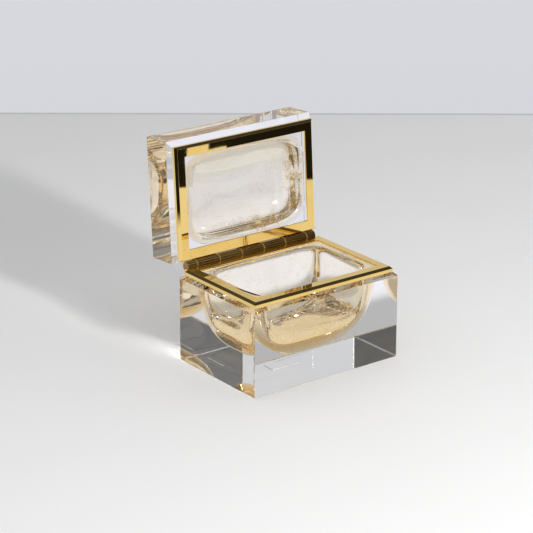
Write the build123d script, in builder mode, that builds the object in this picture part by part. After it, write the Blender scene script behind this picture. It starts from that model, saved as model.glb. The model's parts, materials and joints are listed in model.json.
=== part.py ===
from build123d import *
import os
from math import cos, sin, radians

os.makedirs("parts", exist_ok=True)

# ---------------------------------------------------------------------------
# Hinged glass box: a thick clear glass base and lid, each hollowed out and
# lined with a layer of amber glass, each rimmed with a brass angle frame, and
# joined along the back by a seven-knuckle brass barrel hinge.
# Millimetres. X runs along the hinge, Y from the front to the hinge side,
# Z up. The origin is the middle of the underside. The lid stands open
# against its stop, which is how the box is displayed.
# ---------------------------------------------------------------------------

# overall
glass_width = 120.0  # X
glass_depth = 83.5  # Y
base_glass_height = 61.0  # shoulder that the brass skirt stands on
lid_glass_thickness = 25.8  # from the lid's shoulder to its outer face
lid_front_proud = 0.7  # lid glass stands this far proud of the base at the front
open_angle = 93.7  # lid against its stop
edge_bevel = 0.7  # polished arris on the block's upright edges
bottom_bevel = 0.9

# bevel round the rim, outside the brass
rim_bevel_out = 2.7
base_bevel_drop = 2.5
lid_bevel_drop = 3.3

# brass frame, an angle section with mitred corners
frame_x = glass_width / 2 - rim_bevel_out  # half length, outside
frame_y = glass_depth / 2 - rim_bevel_out  # half depth, outside
frame_height = 3.8
frame_chamfer = 1.6
hinge_side_chamfer = 0.5  # small on the back rails, so they meet the barrel closely
frame_width = 7.3
plate_thickness = 1.2
skirt_thickness = 1.2
edge_round = 0.18  # polished corners of the angle section

# closed, the two frames stay this far apart
face_gap = 0.2

# raised glass land inside the skirt, and the bond line on it
bond = 0.2
land_gap = 0.15
land_x = frame_x - skirt_thickness - land_gap
land_y = frame_y - skirt_thickness - land_gap
land_rise = frame_height - plate_thickness - bond
land_bevel = 0.9

# hollow in the base, and the amber layer round it
base_mouth = (43.8, 27.2)
base_hollow_depth = 42.0
base_hollow_power = 3.4
base_amber = (48.6, 32.0)
base_amber_depth = 50.0
base_amber_power = 2.5
# hollow in the lid, and the amber layer round it
lid_mouth = (45.2, 28.3)
lid_hollow_depth = 17.0
lid_hollow_power = 2.6
lid_amber = (49.5, 32.5)
lid_amber_depth = 21.5
lid_amber_power = 3.0
base_lip = 3.4  # flared, fire-polished lips of the hollows
lid_lip = 2.0

# hinge
hinge_offset = 3.65  # axis behind the frame's outer face
barrel_r = 3.5
pin_r = 1.2
pin_clearance = 0.05
barrel_half = 53.9
stub_length = 7.6
knuckle_gap = 0.1
knuckle_chamfer = 0.4

# blank paper label on the underside
label_x, label_y = -10.0, 24.5
label_w, label_d = 22.0, 18.0
label_t = 0.1

# derived
mating_z = base_glass_height + frame_height
hinge_y = frame_y + hinge_offset
hinge_z = mating_z + face_gap / 2
base_land_z = base_glass_height + land_rise
half_gap = face_gap / 2

# The lid's own frame of reference: X along the hinge, Y towards the hinge
# side and Z up when the lid is closed, swung back to the stop.
swing = radians(open_angle)
LID = Plane(
    origin=(0, hinge_y, hinge_z), x_dir=(1, 0, 0), z_dir=(0, sin(swing), cos(swing))
)
BASE = Plane(origin=(0, hinge_y, hinge_z), x_dir=(1, 0, 0), z_dir=(0, 0, 1))
GROUND = Plane(origin=(0, hinge_y, 0), x_dir=(1, 0, 0), z_dir=(0, 0, 1))
# In these frames the box's middle lies this far in front of the axis.
mid_y = -hinge_y
back_y = -hinge_offset  # outer face of the back rail
front_y = -hinge_y - frame_y


def level(ref, height, y=mid_y):
    """Plane parallel to the rim, at a height above the axis, centred at y."""
    return Plane(
        origin=ref.from_local_coords(Vector(0, y, height)),
        x_dir=ref.x_dir,
        z_dir=ref.z_dir,
    )


def across_x(ref, x):
    """Plane square to X, whose own x and y are the frame's Y and Z."""
    return Plane(
        origin=ref.from_local_coords(Vector(x, 0, 0)), x_dir=ref.y_dir, z_dir=ref.x_dir
    )


def across_y(ref, y):
    """Plane square to Y, whose own x and y are the frame's X and Z, facing -Y."""
    return Plane(
        origin=ref.from_local_coords(Vector(0, y, 0)), x_dir=ref.x_dir, z_dir=-ref.y_dir
    )


def mitre(ref, x, y, nx, ny):
    """Upright mitre plane through (x, y); the kept side is towards (nx, ny)."""
    tip = ref.from_local_coords(Vector(x, y, 0))
    tail = ref.from_local_coords(Vector(x + nx, y + ny, 0))
    return Plane(origin=tip, z_dir=tail - tip)


def rail_points(edge, inward, side, corner=frame_chamfer):
    """Outline of the angle section: edge is the outer face's place on the
    sketch's x, inward +1 or -1, side -1 under the mating plane or +1 over it,
    corner the chamfer along its outer edge."""
    section = [
        (0, frame_height),
        (0, corner),
        (corner, 0),
        (frame_width, 0),
        (frame_width, plate_thickness),
        (skirt_thickness + 0.8, plate_thickness),
        (skirt_thickness, plate_thickness + 0.8),
        (skirt_thickness, frame_height),
    ]
    return [(edge + inward * u, side * (half_gap + v)) for u, v in section]


def hollow_sections(ref, top, side, half, depth, power, corner):
    """Plane, width, depth and corner radius of each section of a hollow whose
    mouth is at height top and which runs down (side -1) or up (side +1)."""
    sections = []
    for t in (0.0, 0.2, 0.4, 0.58, 0.73, 0.85, 0.93, 0.985):
        k = (1 - t**power) ** (1 / power)
        a, b = half[0] * k, half[1] * k
        r = b * (corner + (0.96 - corner) * t**1.5)
        sections.append((level(ref, top + side * depth * t), 2 * a, 2 * b, r))
    return sections


def web_points(side):
    """Web that joins a knuckle to its rail's skirt."""
    return [
        (back_y, side * (half_gap + frame_height - 0.25)),
        (back_y, side * (half_gap + frame_chamfer + 0.05)),
        (-1.2, side * 1.3),
        (-0.9, side * 2.7),
    ]


# Heel on the lid's knuckles that lands on the base's back rail at the end of
# the swing, drawn as it lies with the lid open.
heel_points = [
    (back_y + 0.05, -3.35),
    (back_y + 0.05, -1.95),
    (-2.2, -1.2),
    (-1.2, -2.55),
]


# ------------------------------------------------------------------ base glass
with BuildPart() as base_glass_block:
    with BuildSketch(Plane.XY.offset(bottom_bevel)):
        Rectangle(glass_width, glass_depth)
        chamfer(vertices(), length=edge_bevel)
    extrude(amount=base_glass_height - base_bevel_drop - bottom_bevel)
    # polished arris round the underside
    with BuildSketch(Plane.XY):
        Rectangle(glass_width - 2 * bottom_bevel, glass_depth - 2 * bottom_bevel)
        chamfer(vertices(), length=0.3)
    with BuildSketch(Plane.XY.offset(bottom_bevel)):
        Rectangle(glass_width, glass_depth)
        chamfer(vertices(), length=edge_bevel)
    loft(ruled=True)
    # bevel from the full size in to the brass
    with BuildSketch(Plane.XY.offset(base_glass_height - base_bevel_drop)):
        Rectangle(glass_width, glass_depth)
        chamfer(vertices(), length=edge_bevel)
    with BuildSketch(Plane.XY.offset(base_glass_height)):
        Rectangle(2 * frame_x, 2 * frame_y)
        chamfer(vertices(), length=0.3)
    loft(ruled=True)
    # raised land inside the brass skirt, with its top edge taken off
    with BuildSketch(Plane.XY.offset(base_glass_height)):
        Rectangle(2 * land_x, 2 * land_y)
    extrude(amount=land_rise - land_bevel)
    with BuildSketch(Plane.XY.offset(base_land_z - land_bevel)):
        Rectangle(2 * land_x, 2 * land_y)
    with BuildSketch(Plane.XY.offset(base_land_z)):
        Rectangle(2 * (land_x - land_bevel), 2 * (land_y - land_bevel))
    loft(ruled=True)
    # room for the amber layer
    for plane, width, depth, radius in hollow_sections(
        GROUND, base_land_z, -1, base_amber, base_amber_depth, base_amber_power, 0.34
    ):
        with BuildSketch(plane):
            RectangleRounded(width, depth, radius)
    loft(mode=Mode.SUBTRACT)
    # shallow ground pocket that the paper label is stuck in
    with BuildSketch(Plane.XY):
        with Locations((label_x, label_y)):
            RectangleRounded(label_w + 0.4, label_d + 0.4, 0.7)
    extrude(amount=label_t + 0.05, mode=Mode.SUBTRACT)
base_glass_block.part.label = "base_glass_block"
export_step(base_glass_block.part, "parts/base_glass_block.step")

with BuildPart() as base_amber_lining:
    for plane, width, depth, radius in hollow_sections(
        GROUND, base_land_z, -1, base_amber, base_amber_depth, base_amber_power, 0.34
    ):
        with BuildSketch(plane):
            RectangleRounded(width, depth, radius)
    loft()
    for plane, width, depth, radius in hollow_sections(
        GROUND, base_land_z, -1, base_mouth, base_hollow_depth, base_hollow_power, 0.34
    ):
        with BuildSketch(plane):
            RectangleRounded(width, depth, radius)
    loft(mode=Mode.SUBTRACT)
    # flared lip
    with BuildSketch(Plane.XY.offset(base_land_z)):
        RectangleRounded(
            2 * (base_mouth[0] + base_lip), 2 * (base_mouth[1] + base_lip), 11.0
        )
    with BuildSketch(Plane.XY.offset(base_land_z - base_lip * 1.2)):
        RectangleRounded(
            2 * (base_mouth[0] - 0.3), 2 * (base_mouth[1] - 0.3), 8.5
        )
    loft(ruled=True, mode=Mode.SUBTRACT)
base_amber_lining.part.label = "base_amber_lining"
export_step(base_amber_lining.part, "parts/base_amber_lining.step")

# --------------------------------------------------------- base brass frame
with BuildPart() as base_front_rail:
    with BuildSketch(across_x(BASE, -frame_x)):
        with BuildLine():
            Polyline(*rail_points(front_y, 1, -1), close=True)
        make_face()
        fillet(vertices(), radius=edge_round)
    extrude(amount=2 * frame_x)
    split(bisect_by=mitre(BASE, -frame_x, front_y, 1, -1), keep=Keep.TOP)
    split(bisect_by=mitre(BASE, frame_x, front_y, -1, -1), keep=Keep.TOP)
base_front_rail.part.label = "base_front_rail"
export_step(base_front_rail.part, "parts/base_front_rail.step")

with BuildPart() as base_back_rail:
    with BuildSketch(across_x(BASE, -frame_x)):
        with BuildLine():
            Polyline(*rail_points(back_y, -1, -1, hinge_side_chamfer), close=True)
        make_face()
        fillet(vertices(), radius=edge_round)
    extrude(amount=2 * frame_x)
    split(bisect_by=mitre(BASE, -frame_x, back_y, 1, 1), keep=Keep.TOP)
    split(bisect_by=mitre(BASE, frame_x, back_y, -1, 1), keep=Keep.TOP)
base_back_rail.part.label = "base_back_rail"
export_step(base_back_rail.part, "parts/base_back_rail.step")

with BuildPart() as base_left_rail:
    with BuildSketch(across_y(BASE, back_y)):
        with BuildLine():
            Polyline(*rail_points(-frame_x, 1, -1), close=True)
        make_face()
        fillet(vertices(), radius=edge_round)
    extrude(amount=2 * frame_y)
    split(bisect_by=mitre(BASE, -frame_x, front_y, -1, 1), keep=Keep.TOP)
    split(bisect_by=mitre(BASE, -frame_x, back_y, -1, -1), keep=Keep.TOP)
base_left_rail.part.label = "base_left_rail"
export_step(base_left_rail.part, "parts/base_left_rail.step")

with BuildPart() as base_right_rail:
    with BuildSketch(across_y(BASE, back_y)):
        with BuildLine():
            Polyline(*rail_points(frame_x, -1, -1), close=True)
        make_face()
        fillet(vertices(), radius=edge_round)
    extrude(amount=2 * frame_y)
    split(bisect_by=mitre(BASE, frame_x, front_y, 1, 1), keep=Keep.TOP)
    split(bisect_by=mitre(BASE, frame_x, back_y, 1, -1), keep=Keep.TOP)
base_right_rail.part.label = "base_right_rail"
export_step(base_right_rail.part, "parts/base_right_rail.step")

with BuildPart() as base_rim_bond:
    with BuildSketch(Plane.XY.offset(base_land_z)):
        Rectangle(2 * (land_x - 1.2), 2 * (land_y - 1.2))
        Rectangle(
            2 * (frame_x - frame_width + 0.4),
            2 * (frame_y - frame_width + 0.4),
            mode=Mode.SUBTRACT,
        )
    extrude(amount=bond)
base_rim_bond.part.label = "base_rim_bond"
export_step(base_rim_bond.part, "parts/base_rim_bond.step")

with BuildPart() as underside_label:
    with BuildSketch(Plane.XY.offset(0.05)):
        with Locations((label_x, label_y)):
            RectangleRounded(label_w, label_d, 0.5)
    extrude(amount=label_t)
underside_label.part.label = "underside_label"
export_step(underside_label.part, "parts/underside_label.step")

# ------------------------------------------------------------------- lid glass
lid_shoulder = half_gap + frame_height
lid_land = lid_shoulder - land_rise
lid_out = lid_shoulder + lid_glass_thickness
lid_glass_depth = glass_depth + lid_front_proud
lid_mid_y = mid_y - lid_front_proud / 2

with BuildPart() as lid_glass_block:
    with BuildSketch(level(LID, lid_shoulder + lid_bevel_drop, lid_mid_y)):
        Rectangle(glass_width, lid_glass_depth)
        chamfer(vertices(), length=edge_bevel)
    extrude(amount=lid_glass_thickness - lid_bevel_drop - edge_bevel)
    # polished arris round the outer face
    with BuildSketch(level(LID, lid_out - edge_bevel, lid_mid_y)):
        Rectangle(glass_width, lid_glass_depth)
        chamfer(vertices(), length=edge_bevel)
    with BuildSketch(level(LID, lid_out, lid_mid_y)):
        Rectangle(glass_width - 2 * edge_bevel, lid_glass_depth - 2 * edge_bevel)
        chamfer(vertices(), length=0.3)
    loft(ruled=True)
    # bevel from the full size in to the brass
    with BuildSketch(level(LID, lid_shoulder + lid_bevel_drop, lid_mid_y)):
        Rectangle(glass_width, lid_glass_depth)
        chamfer(vertices(), length=edge_bevel)
    with BuildSketch(level(LID, lid_shoulder)):
        Rectangle(2 * frame_x, 2 * frame_y)
        chamfer(vertices(), length=0.3)
    loft(ruled=True)
    # raised land inside the brass skirt, with its top edge taken off
    with BuildSketch(level(LID, lid_land + land_bevel)):
        Rectangle(2 * land_x, 2 * land_y)
    extrude(amount=land_rise - land_bevel)
    with BuildSketch(level(LID, lid_land + land_bevel)):
        Rectangle(2 * land_x, 2 * land_y)
    with BuildSketch(level(LID, lid_land)):
        Rectangle(2 * (land_x - land_bevel), 2 * (land_y - land_bevel))
    loft(ruled=True)
    for plane, width, depth, radius in hollow_sections(
        LID, lid_land, 1, lid_amber, lid_amber_depth, lid_amber_power, 0.5
    ):
        with BuildSketch(plane):
            RectangleRounded(width, depth, radius)
    loft(mode=Mode.SUBTRACT)
lid_glass_block.part.label = "lid_glass_block"
export_step(lid_glass_block.part, "parts/lid_glass_block.step")

with BuildPart() as lid_amber_lining:
    for plane, width, depth, radius in hollow_sections(
        LID, lid_land, 1, lid_amber, lid_amber_depth, lid_amber_power, 0.5
    ):
        with BuildSketch(plane):
            RectangleRounded(width, depth, radius)
    loft()
    for plane, width, depth, radius in hollow_sections(
        LID, lid_land, 1, lid_mouth, lid_hollow_depth, lid_hollow_power, 0.5
    ):
        with BuildSketch(plane):
            RectangleRounded(width, depth, radius)
    loft(mode=Mode.SUBTRACT)
    with BuildSketch(level(LID, lid_land)):
        RectangleRounded(
            2 * (lid_mouth[0] + lid_lip), 2 * (lid_mouth[1] + lid_lip), 16.0
        )
    with BuildSketch(level(LID, lid_land + lid_lip)):
        RectangleRounded(2 * (lid_mouth[0] - 0.5), 2 * (lid_mouth[1] - 0.5), 14.0)
    loft(ruled=True, mode=Mode.SUBTRACT)
lid_amber_lining.part.label = "lid_amber_lining"
export_step(lid_amber_lining.part, "parts/lid_amber_lining.step")

# ---------------------------------------------------------- lid brass frame
with BuildPart() as lid_front_rail:
    with BuildSketch(across_x(LID, -frame_x)):
        with BuildLine():
            Polyline(*rail_points(front_y, 1, 1), close=True)
        make_face()
        fillet(vertices(), radius=edge_round)
    extrude(amount=2 * frame_x)
    split(bisect_by=mitre(LID, -frame_x, front_y, 1, -1), keep=Keep.TOP)
    split(bisect_by=mitre(LID, frame_x, front_y, -1, -1), keep=Keep.TOP)
lid_front_rail.part.label = "lid_front_rail"
export_step(lid_front_rail.part, "parts/lid_front_rail.step")

with BuildPart() as lid_back_rail:
    with BuildSketch(across_x(LID, -frame_x)):
        with BuildLine():
            Polyline(*rail_points(back_y, -1, 1, hinge_side_chamfer), close=True)
        make_face()
        fillet(vertices(), radius=edge_round)
    extrude(amount=2 * frame_x)
    split(bisect_by=mitre(LID, -frame_x, back_y, 1, 1), keep=Keep.TOP)
    split(bisect_by=mitre(LID, frame_x, back_y, -1, 1), keep=Keep.TOP)
lid_back_rail.part.label = "lid_back_rail"
export_step(lid_back_rail.part, "parts/lid_back_rail.step")

with BuildPart() as lid_left_rail:
    with BuildSketch(across_y(LID, back_y)):
        with BuildLine():
            Polyline(*rail_points(-frame_x, 1, 1), close=True)
        make_face()
        fillet(vertices(), radius=edge_round)
    extrude(amount=2 * frame_y)
    split(bisect_by=mitre(LID, -frame_x, front_y, -1, 1), keep=Keep.TOP)
    split(bisect_by=mitre(LID, -frame_x, back_y, -1, -1), keep=Keep.TOP)
lid_left_rail.part.label = "lid_left_rail"
export_step(lid_left_rail.part, "parts/lid_left_rail.step")

with BuildPart() as lid_right_rail:
    with BuildSketch(across_y(LID, back_y)):
        with BuildLine():
            Polyline(*rail_points(frame_x, -1, 1), close=True)
        make_face()
        fillet(vertices(), radius=edge_round)
    extrude(amount=2 * frame_y)
    split(bisect_by=mitre(LID, frame_x, front_y, 1, 1), keep=Keep.TOP)
    split(bisect_by=mitre(LID, frame_x, back_y, 1, -1), keep=Keep.TOP)
lid_right_rail.part.label = "lid_right_rail"
export_step(lid_right_rail.part, "parts/lid_right_rail.step")

with BuildPart() as lid_rim_bond:
    with BuildSketch(level(LID, lid_land - bond)):
        Rectangle(2 * (land_x - 1.2), 2 * (land_y - 1.2))
        Rectangle(
            2 * (frame_x - frame_width + 0.4),
            2 * (frame_y - frame_width + 0.4),
            mode=Mode.SUBTRACT,
        )
    extrude(amount=bond)
lid_rim_bond.part.label = "lid_rim_bond"
export_step(lid_rim_bond.part, "parts/lid_rim_bond.step")

# ----------------------------------------------------------------------- hinge
long_length = (2 * barrel_half - 2 * stub_length - 6 * knuckle_gap) / 5


def knuckle_start(i):
    """Left end of knuckle 1 to 7."""
    if i == 1:
        return -barrel_half
    return -barrel_half + stub_length + knuckle_gap + (i - 2) * (
        long_length + knuckle_gap
    )


with BuildPart() as hinge_knuckle_1:
    with BuildSketch(across_x(BASE, knuckle_start(1))):
        Circle(barrel_r)
    extrude(amount=stub_length)
    chamfer(hinge_knuckle_1.edges().filter_by(GeomType.CIRCLE), length=knuckle_chamfer)
    with BuildSketch(across_x(BASE, knuckle_start(1))):
        with BuildLine():
            Polyline(*web_points(-1), close=True)
        make_face()
    extrude(amount=stub_length)
    with BuildSketch(across_x(BASE, knuckle_start(1))):
        Circle(pin_r)
    extrude(amount=stub_length, mode=Mode.SUBTRACT)
hinge_knuckle_1.part.label = "hinge_knuckle_1"
export_step(hinge_knuckle_1.part, "parts/hinge_knuckle_1.step")

with BuildPart() as hinge_knuckle_2:
    with BuildSketch(across_x(LID, knuckle_start(2))):
        Circle(barrel_r)
    extrude(amount=long_length)
    chamfer(hinge_knuckle_2.edges().filter_by(GeomType.CIRCLE), length=knuckle_chamfer)
    with BuildSketch(across_x(LID, knuckle_start(2))):
        with BuildLine():
            Polyline(*web_points(1), close=True)
        make_face()
    extrude(amount=long_length)
    with BuildSketch(across_x(BASE, knuckle_start(2))):
        with BuildLine():
            Polyline(*heel_points, close=True)
        make_face()
    extrude(amount=long_length)
    with BuildSketch(across_x(LID, knuckle_start(2))):
        Circle(pin_r + pin_clearance)
    extrude(amount=long_length, mode=Mode.SUBTRACT)
hinge_knuckle_2.part.label = "hinge_knuckle_2"
export_step(hinge_knuckle_2.part, "parts/hinge_knuckle_2.step")

with BuildPart() as hinge_knuckle_3:
    with BuildSketch(across_x(BASE, knuckle_start(3))):
        Circle(barrel_r)
    extrude(amount=long_length)
    chamfer(hinge_knuckle_3.edges().filter_by(GeomType.CIRCLE), length=knuckle_chamfer)
    with BuildSketch(across_x(BASE, knuckle_start(3))):
        with BuildLine():
            Polyline(*web_points(-1), close=True)
        make_face()
    extrude(amount=long_length)
    with BuildSketch(across_x(BASE, knuckle_start(3))):
        Circle(pin_r + pin_clearance)
    extrude(amount=long_length, mode=Mode.SUBTRACT)
hinge_knuckle_3.part.label = "hinge_knuckle_3"
export_step(hinge_knuckle_3.part, "parts/hinge_knuckle_3.step")

with BuildPart() as hinge_knuckle_4:
    with BuildSketch(across_x(LID, knuckle_start(4))):
        Circle(barrel_r)
    extrude(amount=long_length)
    chamfer(hinge_knuckle_4.edges().filter_by(GeomType.CIRCLE), length=knuckle_chamfer)
    with BuildSketch(across_x(LID, knuckle_start(4))):
        with BuildLine():
            Polyline(*web_points(1), close=True)
        make_face()
    extrude(amount=long_length)
    with BuildSketch(across_x(BASE, knuckle_start(4))):
        with BuildLine():
            Polyline(*heel_points, close=True)
        make_face()
    extrude(amount=long_length)
    with BuildSketch(across_x(LID, knuckle_start(4))):
        Circle(pin_r + pin_clearance)
    extrude(amount=long_length, mode=Mode.SUBTRACT)
hinge_knuckle_4.part.label = "hinge_knuckle_4"
export_step(hinge_knuckle_4.part, "parts/hinge_knuckle_4.step")

with BuildPart() as hinge_knuckle_5:
    with BuildSketch(across_x(BASE, knuckle_start(5))):
        Circle(barrel_r)
    extrude(amount=long_length)
    chamfer(hinge_knuckle_5.edges().filter_by(GeomType.CIRCLE), length=knuckle_chamfer)
    with BuildSketch(across_x(BASE, knuckle_start(5))):
        with BuildLine():
            Polyline(*web_points(-1), close=True)
        make_face()
    extrude(amount=long_length)
    with BuildSketch(across_x(BASE, knuckle_start(5))):
        Circle(pin_r + pin_clearance)
    extrude(amount=long_length, mode=Mode.SUBTRACT)
hinge_knuckle_5.part.label = "hinge_knuckle_5"
export_step(hinge_knuckle_5.part, "parts/hinge_knuckle_5.step")

with BuildPart() as hinge_knuckle_6:
    with BuildSketch(across_x(LID, knuckle_start(6))):
        Circle(barrel_r)
    extrude(amount=long_length)
    chamfer(hinge_knuckle_6.edges().filter_by(GeomType.CIRCLE), length=knuckle_chamfer)
    with BuildSketch(across_x(LID, knuckle_start(6))):
        with BuildLine():
            Polyline(*web_points(1), close=True)
        make_face()
    extrude(amount=long_length)
    with BuildSketch(across_x(BASE, knuckle_start(6))):
        with BuildLine():
            Polyline(*heel_points, close=True)
        make_face()
    extrude(amount=long_length)
    with BuildSketch(across_x(LID, knuckle_start(6))):
        Circle(pin_r + pin_clearance)
    extrude(amount=long_length, mode=Mode.SUBTRACT)
hinge_knuckle_6.part.label = "hinge_knuckle_6"
export_step(hinge_knuckle_6.part, "parts/hinge_knuckle_6.step")

with BuildPart() as hinge_knuckle_7:
    with BuildSketch(across_x(BASE, knuckle_start(7))):
        Circle(barrel_r)
    extrude(amount=stub_length)
    chamfer(hinge_knuckle_7.edges().filter_by(GeomType.CIRCLE), length=knuckle_chamfer)
    with BuildSketch(across_x(BASE, knuckle_start(7))):
        with BuildLine():
            Polyline(*web_points(-1), close=True)
        make_face()
    extrude(amount=stub_length)
    with BuildSketch(across_x(BASE, knuckle_start(7))):
        Circle(pin_r)
    extrude(amount=stub_length, mode=Mode.SUBTRACT)
hinge_knuckle_7.part.label = "hinge_knuckle_7"
export_step(hinge_knuckle_7.part, "parts/hinge_knuckle_7.step")

with BuildPart() as hinge_pin:
    with BuildSketch(across_x(BASE, -barrel_half)):
        Circle(pin_r)
    extrude(amount=2 * barrel_half)
    chamfer(hinge_pin.edges().filter_by(GeomType.CIRCLE), length=0.2)
hinge_pin.part.label = "hinge_pin"
export_step(hinge_pin.part, "parts/hinge_pin.step")
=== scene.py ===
import json
import math
import random

import bmesh
import bpy
from mathutils import Matrix, Vector, noise


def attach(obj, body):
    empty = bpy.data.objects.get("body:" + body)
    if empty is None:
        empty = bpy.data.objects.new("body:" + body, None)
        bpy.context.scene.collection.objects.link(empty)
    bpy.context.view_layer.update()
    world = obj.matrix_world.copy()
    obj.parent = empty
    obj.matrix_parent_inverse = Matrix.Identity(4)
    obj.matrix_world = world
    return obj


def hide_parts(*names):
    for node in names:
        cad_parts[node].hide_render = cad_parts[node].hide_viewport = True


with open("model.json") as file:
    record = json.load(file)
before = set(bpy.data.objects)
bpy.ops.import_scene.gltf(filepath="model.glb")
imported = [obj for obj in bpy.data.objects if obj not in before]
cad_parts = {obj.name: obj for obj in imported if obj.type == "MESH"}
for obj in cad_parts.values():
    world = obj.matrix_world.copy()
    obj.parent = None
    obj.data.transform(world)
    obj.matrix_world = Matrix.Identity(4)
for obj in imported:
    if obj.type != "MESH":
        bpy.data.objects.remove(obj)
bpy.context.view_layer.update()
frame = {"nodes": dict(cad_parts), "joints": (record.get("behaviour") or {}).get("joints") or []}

# ---------------------------------------------------------------- dimensions
# Millimetres here, metres in every mesh. The lid has its own frame of
# reference, X along the hinge, Y towards the hinge and Z up when closed.
MM = 0.001
JOINT = frame["joints"][0]
AXIS_Y = JOINT["pos_m"][1] / MM
AXIS_Z = JOINT["pos_m"][2] / MM
OPEN = math.radians(-JOINT["range_deg"][0])

GLASS_X, GLASS_Y = 60.0, 41.75
FRAME_X, FRAME_Y = 57.3, 39.05
LAND_X, LAND_Y = 55.95, 37.7
SHOULDER, LAND = 61.0, 63.4
LID_SHOULDER, LID_LAND = 3.9, 1.5
LID_THICK = 25.8
LID_PROUD = 0.7  # lid glass proud of the base at the front

BASE_M = Matrix.Diagonal((MM, MM, MM, 1.0))
# lid-local millimetres, y measured from the box's middle, to world metres
_c, _s = math.cos(OPEN), math.sin(OPEN)
LID_M = Matrix((
    (MM, 0, 0, 0),
    (0, MM * _c, MM * _s, MM * (AXIS_Y - AXIS_Y * _c)),
    (0, -MM * _s, MM * _c, MM * (AXIS_Z + AXIS_Y * _s)),
    (0, 0, 0, 1),
))


# ------------------------------------------------------------------- meshes
class Solid:
    """Collects rings of points and the faces between them, in millimetres."""

    def __init__(self):
        self.points, self.faces, self.smooth = [], [], []

    def ring(self, points):
        first = len(self.points)
        self.points += [tuple(p) for p in points]
        return list(range(first, len(self.points)))

    def face(self, ids, smooth=False):
        self.faces.append(tuple(ids))
        self.smooth.append(smooth)

    def bridge(self, a, b, smooth=False):
        n = len(a)
        for i in range(n):
            j = (i + 1) % n
            self.face((a[i], a[j], b[j], b[i]), smooth)

    def fan(self, ring, tip, smooth=True):
        n = len(ring)
        for i in range(n):
            self.face((ring[i], ring[(i + 1) % n], tip), smooth)

    def annulus(self, outer, inner, smooth=False, mid=(0.0, 0.0)):
        """Fills the flat space between two rings of different counts, both
        seen from the point mid, which lies inside them."""
        na, nb = len(outer), len(inner)
        ang = lambda i: math.atan2(self.points[i][1] - mid[1], self.points[i][0] - mid[0]) % (2 * math.pi)
        a0 = min(range(na), key=lambda k: ang(outer[k]))
        b0 = min(range(nb), key=lambda k: ang(inner[k]))
        A = [outer[(a0 + k) % na] for k in range(na + 1)]
        B = [inner[(b0 + k) % nb] for k in range(nb + 1)]
        TA = [ang(A[k]) + (2 * math.pi if k == na else 0) for k in range(na + 1)]
        TB = [ang(B[k]) + (2 * math.pi if k == nb else 0) for k in range(nb + 1)]
        i = j = 0
        while i < na or j < nb:
            if j >= nb or (i < na and TA[i + 1] <= TB[j + 1]):
                self.face((A[i], A[i + 1], B[j]), smooth)
                i += 1
            else:
                self.face((A[i], B[j + 1], B[j]), smooth)
                j += 1

    def build(self, name, matrix):
        mesh = bpy.data.meshes.new(name)
        mesh.from_pydata([matrix @ Vector(p) for p in self.points], [], self.faces)
        mesh.polygons.foreach_set("use_smooth", self.smooth)
        bm = bmesh.new()
        bm.from_mesh(mesh)
        bmesh.ops.recalc_face_normals(bm, faces=bm.faces)
        bm.to_mesh(mesh)
        bm.free()
        mesh.update()
        obj = bpy.data.objects.new(name, mesh)
        bpy.context.scene.collection.objects.link(obj)
        return obj


def rect_ring(hx, hy, r, z, mid=0.0, seg=4):
    """Rectangle with rounded corners, anticlockwise from +X, centred on y = mid."""
    out = []
    for cx, cy, a0 in ((1, 1, 0), (-1, 1, 90), (-1, -1, 180), (1, -1, 270)):
        for k in range(seg + 1):
            a = math.radians(a0 + 90 * k / seg)
            out.append((cx * (hx - r) + r * math.cos(a), mid + cy * (hy - r) + r * math.sin(a), z))
    return out


_unit = {}


def oval_ring(a, b, n, z, count):
    """Superellipse of exponent n, its points evenly spaced along it."""
    key = (round(n, 3), round(a / b, 3), count)
    if key not in _unit:
        steps = 4000
        pts = []
        for i in range(steps + 1):
            t = math.pi / 2 * i / steps
            c, s = math.cos(t), math.sin(t)
            pts.append((max(c, 0) ** (2 / n) * (a / b), max(s, 0) ** (2 / n)))
        run = [0.0]
        for p, q in zip(pts, pts[1:]):
            run.append(run[-1] + math.hypot(q[0] - p[0], q[1] - p[1]))
        quarter, k, per = [], 0, count // 4
        for i in range(per + 1):
            want = run[-1] * i / per
            while k < steps - 1 and run[k + 1] < want:
                k += 1
            f = (want - run[k]) / max(run[k + 1] - run[k], 1e-12)
            quarter.append((pts[k][0] + f * (pts[k + 1][0] - pts[k][0]),
                            pts[k][1] + f * (pts[k + 1][1] - pts[k][1])))
        full = quarter[:-1]
        full += [(-y_x, y_y) for y_x, y_y in reversed(quarter[1:])]
        full += [(-y_x, -y_y) for y_x, y_y in quarter[:-1]]
        full += [(y_x, -y_y) for y_x, y_y in reversed(quarter[1:])]
        _unit[key] = full
    return [(x * b, y * b, z) for x, y in _unit[key]]


def wave(p, size, amount, seed):
    v = Vector((p[0] / size + seed, p[1] / size - seed, p[2] / size + 0.5 * seed))
    return amount * noise.noise(v)


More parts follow.
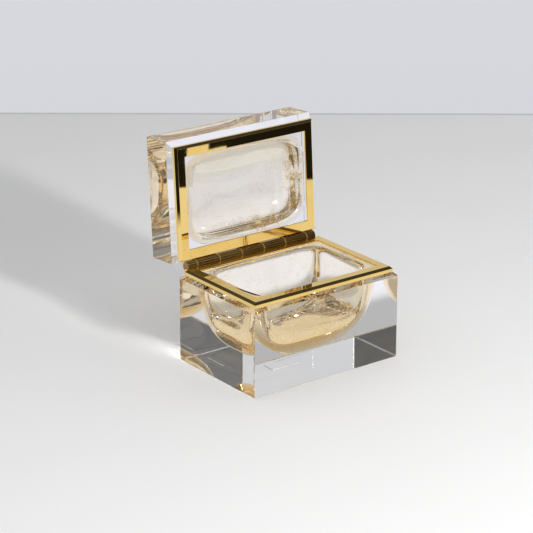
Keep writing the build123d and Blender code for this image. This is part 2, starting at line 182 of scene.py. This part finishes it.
def hollow_rings(half, depth, power, n0, n1, lip, lip_depth, top, side, grow, ripple, seed, count, rows):
    """Rings of a hollow from its lip down to its floor, and the floor's tip.
    grow enlarges it evenly, ripple is the hand-worked unevenness."""
    rings = []
    total = depth + grow
    for row in range(rows):
        s = row / rows
        # closer rows at the lip
        t = math.sin(0.5 * math.pi * s ** (1.15 if power < 3.2 else 0.62 * power)) ** (2 / power)
        k = (1 - t ** power) ** (1 / power) if t < 1 else 0
        d = total * t
        e = 0.0
        if d < lip_depth:
            e = lip * (1 - math.sqrt(max(0.0, 1 - (1 - d / lip_depth) ** 2)))
        n = n0 + (n1 - n0) * t ** 2
        ring = []
        for x, y, _ in oval_ring((half[0] + grow) * k + e, (half[1] + grow) * k + e, n, 0, count):
            z = top + side * d
            if row:
                w = wave((x, y, z), 13.0, ripple, seed) + wave((x, y, z), 5.0, ripple * 0.22, seed + 7)
                m = math.hypot(x, y) + 1e-6
                fade = min(1.0, d / 3.0)
                x, y = x + x / m * w * fade, y + y / m * w * fade
                z += side * w * fade * t
            ring.append((x, y, z))
        rings.append(ring)
    tip = (0.0, 0.0, top + side * total)
    return rings, tip


BASE_BOWL = dict(half=(43.8, 27.2), depth=42.2, power=3.4, n0=8.0, n1=4.6, lip=3.4, lip_depth=4.2)
BASE_SHELL = dict(half=(48.6, 32.0), depth=50.0, power=2.5, n0=7.0, n1=4.6, lip=0.0, lip_depth=0.0)
LID_BOWL = dict(half=(45.2, 28.3), depth=17.0, power=2.6, n0=4.5, n1=3.4, lip=2.0, lip_depth=2.0)
LID_SHELL = dict(half=(49.5, 32.5), depth=21.4, power=3.0, n0=4.8, n1=3.6, lip=0.0, lip_depth=0.0)
COUNT, ROWS = 224, 72


def glass_block(name, matrix, levels, land, bowl, top, side, seed, pocket=None):
    """A closed block of clear glass: rings up the outside, the flat land,
    and the hollow. pocket is a shallow ground recess in the flat face:
    its centre, half sizes and depth."""
    s = Solid()
    rings = [s.ring(rect_ring(*lv)) for lv in levels]
    if pocket:
        px, py, hx, hy, deep = pocket
        z = levels[0][3]
        mouth, floor = (
            s.ring([(x + px, y + py, h) for x, y, h in rect_ring(hx, hy, 0.7, v)]) for v in (z, z - side * deep)
        )
        s.annulus(rings[0], mouth, mid=(px, py))
        s.bridge(mouth, floor)
        s.face(floor)
    else:
        s.face(list(reversed(rings[0])))
    for a, b in zip(rings, rings[1:]):
        s.bridge(a, b)
    hollow, tip = hollow_rings(top=top, side=side, grow=0.0, ripple=0.11, seed=seed, count=COUNT, rows=ROWS, **bowl)
    inner = [s.ring(r) for r in hollow]
    s.annulus(rings[-1], inner[0])
    for a, b in zip(inner, inner[1:]):
        s.bridge(a, b, True)
    s.fan(inner[-1], s.ring([tip])[0])
    return s.build(name, matrix)


def lining(name, matrix, bowl, shell, top, side, seed):
    """The amber layer: a closed shell set a hair inside the clear block's
    hollow, so that the two read as one fused piece of glass."""
    s = Solid()
    inner_rings, inner_tip = hollow_rings(top=top, side=side, grow=0.06, ripple=0.11, seed=seed, count=COUNT, rows=ROWS, **bowl)
    outer_rings, outer_tip = hollow_rings(top=top, side=side, grow=0.0, ripple=0.30, seed=seed + 3, count=COUNT, rows=ROWS, **shell)
    drop = side * 0.06
    inner = [s.ring([(x, y, z + (drop if i == 0 else 0)) for x, y, z in r]) for i, r in enumerate(inner_rings)]
    outer = [s.ring([(x, y, z + (drop if i == 0 else 0)) for x, y, z in r]) for i, r in enumerate(outer_rings)]
    s.bridge(outer[0], inner[0])
    for a, b in zip(inner, inner[1:]):
        s.bridge(a, b)
    s.fan(inner[-1], s.ring([inner_tip])[0], False)
    for a, b in zip(outer, outer[1:]):
        s.bridge(b, a)
    s.fan(list(reversed(outer[-1])), s.ring([outer_tip])[0], False)
    return s.build(name, matrix)


def flecks(name, matrix, bowl, shell, top, side, seed, count, sizes, keep=None):
    """Gold leaf broken up in the amber layer: tiny flat crystals, each a
    closed octahedron, lying roughly along the wall and drawn into streaks.
    keep gives the chance that a crystal lies at a point."""
    rng = random.Random(round(1000 * (seed + sizes[1])))
    inner, _ = hollow_rings(top=top, side=side, grow=0.06, ripple=0.11, seed=seed, count=COUNT, rows=ROWS, **bowl)
    outer, _ = hollow_rings(top=top, side=side, grow=0.0, ripple=0.30, seed=seed + 3, count=COUNT, rows=ROWS, **shell)
    s = Solid()
    made = 0
    while made < count:
        row, col = rng.randrange(2, ROWS - 1), rng.randrange(COUNT)
        a, b = Vector(inner[row][col]), Vector(outer[row][col])
        r0, r1 = inner[row], inner[row + 1]
        u, v = Vector(r0[(col + 1) % COUNT]) - a, Vector(r1[col]) - a
        if rng.random() > u.length * (v.length + 0.2) / 1.6:
            continue
        if keep and rng.random() > keep(a):
            continue
        if rng.random() > 0.35 + 1.3 * noise.noise(a / 7.0 + Vector((seed, 0, 0))) + 0.5 * noise.noise(a / 2.5):
            continue
        wall = b - a
        deep = 0.10 + 0.75 * rng.random() ** 1.3
        at = a + wall * deep + u * rng.random() + v * rng.random()
        if wall.length < 0.6 or min(deep, 1 - deep) * wall.length < 0.22:
            continue
        n = (u.cross(v).normalized() + Vector([rng.gauss(0, 0.28) for _ in range(3)])).normalized()
        t = n.orthogonal().normalized()
        w = n.cross(t)
        size = sizes[0] + (sizes[1] - sizes[0]) * rng.random() ** 2.4
        long = size * rng.uniform(1.0, 1.7)
        thick = 0.012 + 0.08 * size
        spin = rng.uniform(0, math.pi)
        t, w = t * math.cos(spin) + w * math.sin(spin), w * math.cos(spin) - t * math.sin(spin)
        e = s.ring([at + t * long, at + w * size, at - t * long, at - w * size])
        top_i, low_i = s.ring([at + n * thick, at - n * thick])
        for i in range(4):
            s.face((e[i], e[(i + 1) % 4], top_i))
            s.face((e[(i + 1) % 4], e[i], low_i))
        made += 1
    return s.build(name, matrix)


# levels: half x, half y, corner radius, z
base_levels = []
for k in range(4):
    a = math.pi / 2 * k / 4
    base_levels.append((GLASS_X - 0.8 * (1 - math.sin(a)), GLASS_Y - 0.8 * (1 - math.sin(a)), 0.7, 0.8 * (1 - math.cos(a))))
base_levels += [
    (GLASS_X, GLASS_Y, 0.7, 0.8),
    (GLASS_X, GLASS_Y, 0.7, 58.38),
    (GLASS_X - 0.06, GLASS_Y - 0.06, 0.68, 58.55),
    (FRAME_X + 0.06, FRAME_Y + 0.06, 0.35, 60.9),
    (FRAME_X - 0.08, FRAME_Y - 0.08, 0.3, 60.97),
    (LAND_X, LAND_Y, 0.25, 60.97),
    (LAND_X, LAND_Y, 0.25, 62.5),
    (LAND_X - 0.9, LAND_Y - 0.9, 0.2, LAND),
]
base_glass = glass_block("base_clear_glass", BASE_M, base_levels, LAND, BASE_BOWL, LAND, -1, 2.3, (-10.0, 24.5, 11.2, 9.2, 0.17))
base_amber = lining("base_amber_glass", BASE_M, BASE_BOWL, BASE_SHELL, LAND, -1, 2.3)

out = LID_SHOULDER + LID_THICK
HALF_Y, MID_Y = GLASS_Y + LID_PROUD / 2, -LID_PROUD / 2
lid_levels = []
for k in range(4):
    a = math.pi / 2 * k / 4
    lid_levels.append((GLASS_X - 0.7 * (1 - math.sin(a)), HALF_Y - 0.7 * (1 - math.sin(a)), 0.7, out - 0.7 * (1 - math.cos(a)), MID_Y))
lid_levels += [
    (GLASS_X, HALF_Y, 0.7, out - 0.7, MID_Y),
    (GLASS_X, HALF_Y, 0.7, LID_SHOULDER + 3.42, MID_Y),
    (GLASS_X - 0.06, HALF_Y - 0.06, 0.68, LID_SHOULDER + 3.25, MID_Y),
    (FRAME_X + 0.06, FRAME_Y + 0.06, 0.35, LID_SHOULDER + 0.1),
    (FRAME_X - 0.08, FRAME_Y - 0.08, 0.3, LID_SHOULDER + 0.03),
    (LAND_X, LAND_Y, 0.25, LID_SHOULDER + 0.03),
    (LAND_X, LAND_Y, 0.25, LID_LAND + 0.9),
    (LAND_X - 0.9, LAND_Y - 0.9, 0.2, LID_LAND),
]
lid_glass = glass_block("lid_clear_glass", LID_M, lid_levels, LID_LAND, LID_BOWL, LID_LAND, 1, 5.1)
lid_amber = lining("lid_amber_glass", LID_M, LID_BOWL, LID_SHELL, LID_LAND, 1, 5.1)


def ramp01(v, low, high):
    return min(1.0, max(0.0, (v - low) / (high - low)))


def lid_leaf(p):
    """Leaf gathered at the right of the lid's hollow and along its hinge side."""
    return max(ramp01(p.x, 37, 43), ramp01(p.y, 21, 27) * ramp01(p.x, -20, 30))


def base_leaf(p):
    """Leaf gathered in the right half of the bowl, and a little at its left end."""
    return max(ramp01(p.x, -4, 20) * ramp01(42 - p.z, -16, 6), 0.5 * ramp01(-p.x, 26, 38))


base_gold = flecks("base_gold_flecks", BASE_M, BASE_BOWL, BASE_SHELL, LAND, -1, 2.3, 6000, (0.07, 0.26))
base_flakes = flecks("base_gold_leaf", BASE_M, BASE_BOWL, BASE_SHELL, LAND, -1, 2.3, 2600, (0.08, 0.34), base_leaf)
lid_gold = flecks("lid_gold_flecks", LID_M, LID_BOWL, LID_SHELL, LID_LAND, 1, 5.1, 3000, (0.07, 0.26))
lid_flakes = flecks("lid_gold_leaf", LID_M, LID_BOWL, LID_SHELL, LID_LAND, 1, 5.1, 4200, (0.08, 0.34), lid_leaf)


# thin translucent bond line under each frame
def bond_ring(name, matrix, low, high):
    s = Solid()
    o, i = (LAND_X - 1.2, LAND_Y - 1.2, 0.3), (50.4, 32.15, 0.3)
    a, b = s.ring(rect_ring(*o, low)), s.ring(rect_ring(*o, high))
    c, d = s.ring(rect_ring(*i, high)), s.ring(rect_ring(*i, low))
    for p, q in ((a, b), (b, c), (c, d), (d, a)):
        s.bridge(p, q)
    return s.build(name, matrix)


base_bond = bond_ring("base_bond_line", BASE_M, LAND - 0.02, LAND + 0.19)
lid_bond = bond_ring("lid_bond_line", LID_M, LID_LAND - 0.19, LID_LAND + 0.02)


# ---------------------------------------------------------------- materials
def new_material(name):
    mat = bpy.data.materials.new(name)
    mat.use_nodes = True
    nt = mat.node_tree
    nt.nodes.clear()
    out = nt.nodes.new("ShaderNodeOutputMaterial")
    bsdf = nt.nodes.new("ShaderNodeBsdfPrincipled")
    nt.links.new(bsdf.outputs[0], out.inputs["Surface"])
    return mat, nt, bsdf, out


def noise_node(nt, scale, detail=3.0, rough=0.5, stretch=None, distortion=0.0):
    tc = nt.nodes.new("ShaderNodeTexCoord")
    n = nt.nodes.new("ShaderNodeTexNoise")
    n.inputs["Scale"].default_value = scale
    n.inputs["Detail"].default_value = detail
    n.inputs["Roughness"].default_value = rough
    n.inputs["Distortion"].default_value = distortion
    if stretch:
        m = nt.nodes.new("ShaderNodeMapping")
        m.inputs["Scale"].default_value = stretch
        nt.links.new(tc.outputs["Object"], m.inputs["Vector"])
        nt.links.new(m.outputs[0], n.inputs["Vector"])
    else:
        nt.links.new(tc.outputs["Object"], n.inputs["Vector"])
    return n


def ramp(nt, source, stops):
    r = nt.nodes.new("ShaderNodeValToRGB")
    els = r.color_ramp.elements
    while len(els) < len(stops):
        els.new(0.5)
    for e, (pos, col) in zip(els, stops):
        e.position, e.color = pos, (*col, 1.0) if len(col) == 3 else col
    nt.links.new(source, r.inputs["Fac"])
    return r.outputs["Color"]


def span(nt, source, low, high, from_low=0.0, from_high=1.0):
    m = nt.nodes.new("ShaderNodeMapRange")
    m.inputs["From Min"].default_value, m.inputs["From Max"].default_value = from_low, from_high
    m.inputs["To Min"].default_value, m.inputs["To Max"].default_value = low, high
    nt.links.new(source, m.inputs["Value"])
    return m.outputs["Result"]


def bump(nt, source, strength, distance, bsdf):
    b = nt.nodes.new("ShaderNodeBump")
    b.inputs["Strength"].default_value = strength
    b.inputs["Distance"].default_value = distance
    nt.links.new(source, b.inputs["Height"])
    nt.links.new(b.outputs[0], bsdf.inputs["Normal"])
    return b


def clear_glass_material():
    mat, nt, p, o = new_material("clear_polished_glass")
    p.inputs["Transmission Weight"].default_value = 1.0
    p.inputs["IOR"].default_value = 1.5
    p.inputs["Roughness"].default_value = 0.0
    # the faintest variation of tone that thick cast glass has
    n = noise_node(nt, 30.0, 2.0)
    nt.links.new(ramp(nt, n.outputs["Fac"], [(0.3, (0.985, 0.988, 0.986)), (0.7, (1.0, 1.0, 1.0))]), p.inputs["Base Color"])
    # soft waves left by grinding and polishing by hand
    w = noise_node(nt, 55.0, 2.0, 0.4)
    bump(nt, w.outputs["Fac"], 0.05, 0.0004, p)
    return mat


def amber_glass_material():
    mat, nt, p, o = new_material("amber_flecked_glass")
    p.inputs["Transmission Weight"].default_value = 1.0
    p.inputs["IOR"].default_value = 1.008
    p.inputs["Roughness"].default_value = 0.0
    n = noise_node(nt, 220.0, 4.0, 0.6, distortion=0.6)
    nt.links.new(ramp(nt, n.outputs["Fac"], [(0.35, (1.0, 0.985, 0.95)), (0.62, (1.0, 1.0, 1.0))]), p.inputs["Base Color"])
    v = nt.nodes.new("ShaderNodeVolumeAbsorption")
    v.inputs["Color"].default_value = (0.955, 0.66, 0.05, 1.0)
    v.inputs["Density"].default_value = 34.0
    nt.links.new(v.outputs[0], o.inputs["Volume"])
    return mat


def brass_material(name, colour, dark, rough, knuckled=False):
    """Polished brass. knuckled paints a highlight at the ends of the knuckles, where the seams between them catch the
    light.
    """
    mat, nt, p, o = new_material(name)
    p.inputs["Metallic"].default_value = 1.0
    p.inputs["IOR"].default_value = 1.5
    tone = noise_node(nt, 38.0, 5.0, 0.55, distortion=0.4)
    shade = ramp(nt, tone.outputs["Fac"], [(0.30, dark), (0.62, colour)])
    if knuckled:
        tc = nt.nodes.new("ShaderNodeTexCoord")
        xyz = nt.nodes.new("ShaderNodeSeparateXYZ")
        nt.links.new(tc.outputs["Object"], xyz.inputs[0])
        off = nt.nodes.new("ShaderNodeMath")
        off.operation = "PINGPONG"  # distance from the nearest seam
        shift = nt.nodes.new("ShaderNodeMath")
        shift.operation = "ADD"
        shift.inputs[1].default_value = 0.08325
        nt.links.new(xyz.outputs["X"], shift.inputs[0])
        nt.links.new(shift.outputs[0], off.inputs[0])
        off.inputs[1].default_value = 0.00925
        # painted highlight: lighter brass along the seams between the knuckles
        seam_highlight = nt.nodes.new("ShaderNodeMix")
        seam_highlight.data_type = "RGBA"
        nt.links.new(span(nt, off.outputs[0], 0.8, 0.0, 0.0002, 0.0007), seam_highlight.inputs["Factor"])
        nt.links.new(shade, seam_highlight.inputs["A"])
        seam_highlight.inputs["B"].default_value = (0.86, 0.60, 0.22, 1.0)
        shade = seam_highlight.outputs["Result"]
    nt.links.new(shade, p.inputs["Base Color"])
    fine = noise_node(nt, 900.0, 3.0, 0.6, stretch=(0.15, 0.15, 1.0))
    nt.links.new(span(nt, fine.outputs["Fac"], rough[0], rough[1], 0.3, 0.7), p.inputs["Roughness"])
    waves = noise_node(nt, 60.0, 2.0, 0.4)
    bump(nt, waves.outputs["Fac"], 0.015, 0.0004, p)
    return mat


def gold_leaf_material():
    mat, nt, p, o = new_material("gold_leaf")
    p.inputs["Metallic"].default_value = 0.8
    n = noise_node(nt, 500.0, 2.0)
    nt.links.new(ramp(nt, n.outputs["Fac"], [(0.3, (0.90, 0.66, 0.24)), (0.7, (1.0, 0.86, 0.52))]), p.inputs["Base Color"])
    nt.links.new(span(nt, n.outputs["Fac"], 0.18, 0.4, 0.3, 0.7), p.inputs["Roughness"])
    return mat


def bond_material():
    mat, nt, p, o = new_material("bond_line")
    n = noise_node(nt, 260.0, 3.0)
    nt.links.new(ramp(nt, n.outputs["Fac"], [(0.3, (0.80, 0.72, 0.60)), (0.7, (0.90, 0.85, 0.76))]), p.inputs["Base Color"])
    p.inputs["Roughness"].default_value = 0.5
    return mat


def paper_material():
    mat, nt, p, o = new_material("blank_label_paper")
    n = noise_node(nt, 1400.0, 4.0, 0.65)
    nt.links.new(ramp(nt, n.outputs["Fac"], [(0.3, (0.60, 0.59, 0.56)), (0.7, (0.72, 0.71, 0.68))]), p.inputs["Base Color"])
    p.inputs["Roughness"].default_value = 0.8
    bump(nt, n.outputs["Fac"], 0.25, 0.00005, p)
    return mat


clear_mat = clear_glass_material()
amber_mat = amber_glass_material()
frame_mat = brass_material("polished_brass", (1.0, 0.73, 0.27), (0.93, 0.64, 0.20), (0.008, 0.03))
hinge_mat = brass_material("hinge_brass", (0.44, 0.275, 0.09), (0.30, 0.18, 0.055), (0.06, 0.15), True)
leaf_mat = gold_leaf_material()
bond_mat = bond_material()
paper_mat = paper_material()

for piece, mat, body, node, slot in (
    (base_glass, clear_mat, "base", "base_glass_block", "clear_glass"),
    (base_amber, amber_mat, "base", "base_amber_lining", "amber_glass"),
    (base_gold, leaf_mat, "base", "base_amber_lining", "amber_glass"),
    (base_flakes, leaf_mat, "base", "base_amber_lining", "amber_glass"),
    (base_bond, bond_mat, "base", "base_rim_bond", "adhesive"),
    (lid_glass, clear_mat, "lid", "lid_glass_block", "clear_glass"),
    (lid_amber, amber_mat, "lid", "lid_amber_lining", "amber_glass"),
    (lid_gold, leaf_mat, "lid", "lid_amber_lining", "amber_glass"),
    (lid_flakes, leaf_mat, "lid", "lid_amber_lining", "amber_glass"),
    (lid_bond, bond_mat, "lid", "lid_rim_bond", "adhesive"),
):
    piece.data.materials.append(mat)
    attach(piece, body)
    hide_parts(node)


# clear glass lets the key light through to the table
for piece in (base_glass, base_gold, base_flakes, base_bond):
    piece.visible_shadow = False


def paint(node, mat):
    obj = frame["nodes"][node]
    obj.data.materials.clear()
    obj.data.materials.append(mat)


for half in ("base", "lid"):
    for side in ("front", "back", "left", "right"):
        paint(f"{half}_{side}_rail", frame_mat)
for i in range(1, 8):
    paint(f"hinge_knuckle_{i}", hinge_mat)
paint("hinge_pin", hinge_mat)
paint("underside_label", paper_mat)


# -------------------------------------------------------------- the studio
AZ, EL, ROLL = math.radians(-37.18), math.radians(20.21), math.radians(0.11)
DIST = 1.39622
TARGET = Vector((-0.01871, 0.0, 0.06989))
back = Vector((math.sin(AZ) * math.cos(EL), -math.cos(AZ) * math.cos(EL), math.sin(EL)))
right = Vector((math.cos(AZ), math.sin(AZ), 0.0))
up = back.cross(right)
cam = bpy.data.cameras.new("camera")
cam.sensor_width = 36.0
cam.lens = 36.0 * 2119.32 / 533.0
cam_obj = bpy.data.objects.new("camera", cam)
rot = Matrix((right, up, back)).transposed().to_4x4()
cam_obj.matrix_world = Matrix.Translation(TARGET + back * DIST) @ rot @ Matrix.Rotation(ROLL, 4, "Z")
cam.clip_start, cam.clip_end = 0.05, 50.0
bpy.context.scene.collection.objects.link(cam_obj)
bpy.context.scene.camera = cam_obj

# table: its far edge lies square to the line of sight
ahead = Vector((-math.sin(AZ), math.cos(AZ), 0.0))
across = Vector((math.cos(AZ), math.sin(AZ), 0.0))
mesh = bpy.data.meshes.new("table")
zf = -0.0004
corners = [(-1.6, -1.6), (1.6, -1.6), (1.6, 0.608), (-1.6, 0.608)]
mesh.from_pydata([tuple(Vector((TARGET.x, 0, zf)) + across * a + ahead * b) for a, b in corners], [], [(0, 1, 2, 3)])
table = bpy.data.objects.new("table", mesh)
bpy.context.scene.collection.objects.link(table)
tmat, tnt, tp, to = new_material("table_white")


def calc(nt, op, a, b=0.0, c=0.0):
    m = nt.nodes.new("ShaderNodeMath")
    m.operation = op
    for i, v in enumerate((a, b, c)):
        if isinstance(v, (int, float)):
            m.inputs[i].default_value = v
        else:
            nt.links.new(v, m.inputs[i])
    return m.outputs[0]


def step_up(nt, v, at, soft):
    """0 below at, 1 above it, smooth over soft on either side."""
    m = nt.nodes.new("ShaderNodeMapRange")
    m.interpolation_type = "SMOOTHSTEP"
    m.inputs["From Min"].default_value, m.inputs["From Max"].default_value = at - soft, at + soft
    nt.links.new(v, m.inputs["Value"])
    return m.outputs["Result"]


def window(nt, v, low, high, soft):
    return calc(nt, "SUBTRACT", step_up(nt, v, low, soft), step_up(nt, v, high, soft))


def blend_value(nt, under, over, mask):
    """under where mask is 0, over where it is 1."""
    return calc(nt, "MULTIPLY_ADD", mask, calc(nt, "SUBTRACT", over, under), under)


def grey(nt, value, tint=(1.0, 1.0, 1.0)):
    c = nt.nodes.new("ShaderNodeCombineXYZ")
    for i, t in enumerate(tint):
        nt.links.new(calc(nt, "MULTIPLY", value, t), c.inputs[i])
    return c.outputs[0]


geo = tnt.nodes.new("ShaderNodeNewGeometry")
where = tnt.nodes.new("ShaderNodeSeparateXYZ")
tnt.links.new(geo.outputs["Position"], where.inputs[0])
X, Y = where.outputs["X"], where.outputs["Y"]
far = calc(tnt, "ADD", calc(tnt, "MULTIPLY", X, ahead.x), calc(tnt, "MULTIPLY", Y, ahead.y))
side = calc(tnt, "ADD", calc(tnt, "MULTIPLY", X, across.x), calc(tnt, "MULTIPLY", Y, across.y))
tn = noise_node(tnt, 9.0, 3.0)
# painted light falloff: the table's colour is lighter near the camera and on the right and darker far off, standing
# in for the key light falling off
tone = span(tnt, far, 0.832, 0.70, -0.45, 0.6)
tone = calc(tnt, "ADD", tone, span(tnt, side, -0.02, 0.03, -0.3, 0.3))
tone = calc(tnt, "MULTIPLY", tone, span(tnt, tn.outputs["Fac"], 0.992, 1.008, 0.3, 0.7))
# painted shade: a dark strip along the table's far edge
edge_shade = step_up(tnt, far, 0.608 + TARGET.x * ahead.x - 0.005, 0.002)
tone = blend_value(tnt, tone, 0.55, edge_shade)
tnt.links.new(grey(tnt, tone, (1.0, 1.0, 1.003)), tp.inputs["Base Color"])
tp.inputs["Roughness"].default_value = 0.6
tp.inputs["Specular IOR Level"].default_value = 0.2
# What glass and brass see of the table is painted light: the table glows, lit as far as the edge of the light,
# painted dim beyond it, and painted brighter behind the box for light gathered in the glass.
seen = blend_value(tnt, 0.72, 0.84, calc(tnt, "SUBTRACT", 1.0, step_up(tnt, Y, -0.05, 0.01)))
behind = calc(tnt, "MULTIPLY", window(tnt, Y, 0.095, 0.42, 0.012), window(tnt, X, -0.10, 0.40, 0.05))
seen = blend_value(tnt, seen, span(tnt, Y, 0.90, 0.73, 0.15, 0.27), behind)
# painted shadow in a strip just behind the box
seen = blend_value(tnt, seen, 0.46, calc(tnt, "MULTIPLY", window(tnt, Y, 0.037, 0.088, 0.008), window(tnt, X, -0.06, 0.12, 0.02)))
# painted light under the box
under = calc(tnt, "MULTIPLY", window(tnt, Y, -0.043, 0.041, 0.002), window(tnt, X, -0.06, 0.06, 0.002))
seen = blend_value(tnt, seen, 0.80, under)
# painted shade beyond the edge of the light, which runs through (257, -426) and (352, -347) millimetres
beyond = calc(tnt, "ADD", calc(tnt, "MULTIPLY", calc(tnt, "SUBTRACT", X, 0.257), 0.639), calc(tnt, "MULTIPLY", calc(tnt, "SUBTRACT", Y, -0.426), -0.769))
dim = step_up(tnt, beyond, 0.0, 0.005)
# one painted lit sheet lies in the painted dim part; u runs across it
u = calc(tnt, "ADD", calc(tnt, "MULTIPLY", X, 0.811), calc(tnt, "MULTIPLY", Y, 0.585))
sheet = calc(tnt, "MAXIMUM",
             calc(tnt, "MULTIPLY", window(tnt, u, -0.0355, -0.014, 0.0008), window(tnt, Y, -0.578, -0.50, 0.004)),
             calc(tnt, "MULTIPLY", window(tnt, u, -0.0355, 0.004, 0.0008), window(tnt, Y, -0.552, -0.50, 0.004)))
dim = calc(tnt, "SUBTRACT", dim, sheet)
# painted shade far off to the left as well
dim = calc(tnt, "MAXIMUM", dim, calc(tnt, "SUBTRACT", 1.0, step_up(tnt, X, -0.385, 0.03)))
seen = blend_value(tnt, seen, 0.012, dim)
glow = tnt.nodes.new("ShaderNodeEmission")
# painted warm light under the box, where the light has come through amber, and a faintly bluer painted light behind
# it; the table glows with these for every ray but camera rays
warm = tnt.nodes.new("ShaderNodeCombineXYZ")
tnt.links.new(seen, warm.inputs[0])
tnt.links.new(calc(tnt, "MULTIPLY", seen, calc(tnt, "MULTIPLY_ADD", behind, 0.012, blend_value(tnt, 0.998, 0.89, under))), warm.inputs[1])
tnt.links.new(calc(tnt, "MULTIPLY", seen, calc(tnt, "MULTIPLY_ADD", behind, 0.11, blend_value(tnt, 0.995, 0.66, under))), warm.inputs[2])
tnt.links.new(warm.outputs[0], glow.inputs["Color"])
path = tnt.nodes.new("ShaderNodeLightPath")
pick = tnt.nodes.new("ShaderNodeMixShader")
tnt.links.new(path.outputs["Is Camera Ray"], pick.inputs[0])
tnt.links.new(glow.outputs[0], pick.inputs[1])
tnt.links.new(tp.outputs[0], pick.inputs[2])
tnt.links.new(pick.outputs[0], to.inputs["Surface"])
mesh.materials.append(tmat)

# The room: a pale wall behind, soft light all round, and the dim parts of a
# studio that polished brass and glass pick up. Angles in degrees, azimuth 0
# in front of the box and 90 on its right.
world = bpy.data.worlds.new("room")
bpy.context.scene.world = world
world.use_nodes = True
wnt = world.node_tree
wnt.nodes.clear()
wout = wnt.nodes.new("ShaderNodeOutputWorld")
coord = wnt.nodes.new("ShaderNodeTexCoord")
aim = wnt.nodes.new("ShaderNodeSeparateXYZ")
wnt.links.new(coord.outputs["Generated"], aim.inputs[0])
turn = calc(wnt, "MULTIPLY", calc(wnt, "ARCTAN2", aim.outputs["X"], calc(wnt, "MULTIPLY", aim.outputs["Y"], -1.0)), 180 / math.pi)
rise = calc(wnt, "MULTIPLY", calc(wnt, "ARCSINE", aim.outputs["Z"]), 180 / math.pi)
room = 0.42
for az0, az1, el0, el1, soft, value in (
    (94, 190, -90, 46, 4, 0.64),
    (94, 190, -90, 1, 3, 0.78),
    (-190, -170, -90, 46, 4, 0.64),
    (86, 125, 47, 61, 3, 0.45),
    (-168, -124, 13, 44, 2, 0.066),
    (31, 72, 1, 37, 2, 0.11),
    (60, 71, 2, 12, 2, 0.27),
    (52, 62, 33, 42, 2, 0.45),
    (50, 86, 43, 58, 2, 0.05),
    (27, 49, 39, 50, 2, 0.95),
    (-190, 190, 63, 95, 3, 0.55),
):
    mask = calc(wnt, "MULTIPLY", window(wnt, turn, az0, az1, soft), window(wnt, rise, el0, el1, soft))
    room = blend_value(wnt, room, value, mask)
# two small lamps that glint in the curved glass
for az, el, reach, value in ((2, 22, 5.5, 11.0), (78, 33, 4.0, 7.0)):
    away = calc(wnt, "SQRT", calc(wnt, "ADD",
                calc(wnt, "POWER", calc(wnt, "ABSOLUTE", calc(wnt, "MULTIPLY", calc(wnt, "SUBTRACT", turn, az), math.cos(math.radians(el)))), 2.0),
                calc(wnt, "POWER", calc(wnt, "ABSOLUTE", calc(wnt, "SUBTRACT", rise, el)), 2.0)))
    room = blend_value(wnt, value, room, step_up(wnt, away, reach, 1.0))


def sky(strength, colour):
    b = wnt.nodes.new("ShaderNodeBackground")
    if isinstance(colour, tuple):
        b.inputs["Color"].default_value = colour
    else:
        wnt.links.new(colour, b.inputs["Color"])
    b.inputs["Strength"].default_value = strength
    return b.outputs[0]


def choose(flag, no, yes):
    m = wnt.nodes.new("ShaderNodeMixShader")
    wnt.links.new(flag, m.inputs[0])
    wnt.links.new(no, m.inputs[1])
    wnt.links.new(yes, m.inputs[2])
    return m.outputs[0]


wpath = wnt.nodes.new("ShaderNodeLightPath")
wall = span(wnt, rise, 0.672, 0.69, -16.0, -13.0)
shown = choose(wpath.outputs["Is Camera Ray"], sky(1.0, grey(wnt, room, (0.99, 1.0, 1.02))), sky(1.0, grey(wnt, wall, (0.99, 1.0, 1.06))))
shown = choose(wpath.outputs["Is Diffuse Ray"], shown, sky(0.67, (0.995, 1.0, 1.01, 1.0)))
wnt.links.new(shown, wout.inputs[0])


def area_light(name, at, to, size, power, colour=(1, 1, 1)):
    data = bpy.data.lights.new(name, "AREA")
    data.shape = "DISK"
    data.size = size
    data.energy = power
    data.color = colour
    obj = bpy.data.objects.new(name, data)
    obj.location = at
    obj.rotation_euler = (Vector(to) - Vector(at)).to_track_quat("-Z", "Y").to_euler()
    bpy.context.scene.collection.objects.link(obj)
    return obj


key_dir = Vector((math.sin(math.radians(1.8)), -math.cos(math.radians(1.8)), 0.0))
key_el = math.radians(22)
key_at = Vector((0, 0, 0.06)) + (key_dir * math.cos(key_el) + Vector((0, 0, math.sin(key_el)))) * 1.5
area_light("key", key_at, (0, 0, 0.06), 0.14, 18.5, (1.0, 0.985, 0.96))

scene = bpy.context.scene
scene.view_settings.view_transform = "Standard"
scene.cycles.max_bounces = 24
scene.cycles.transmission_bounces = 24
scene.cycles.glossy_bounces = 12
scene.cycles.transparent_max_bounces = 24
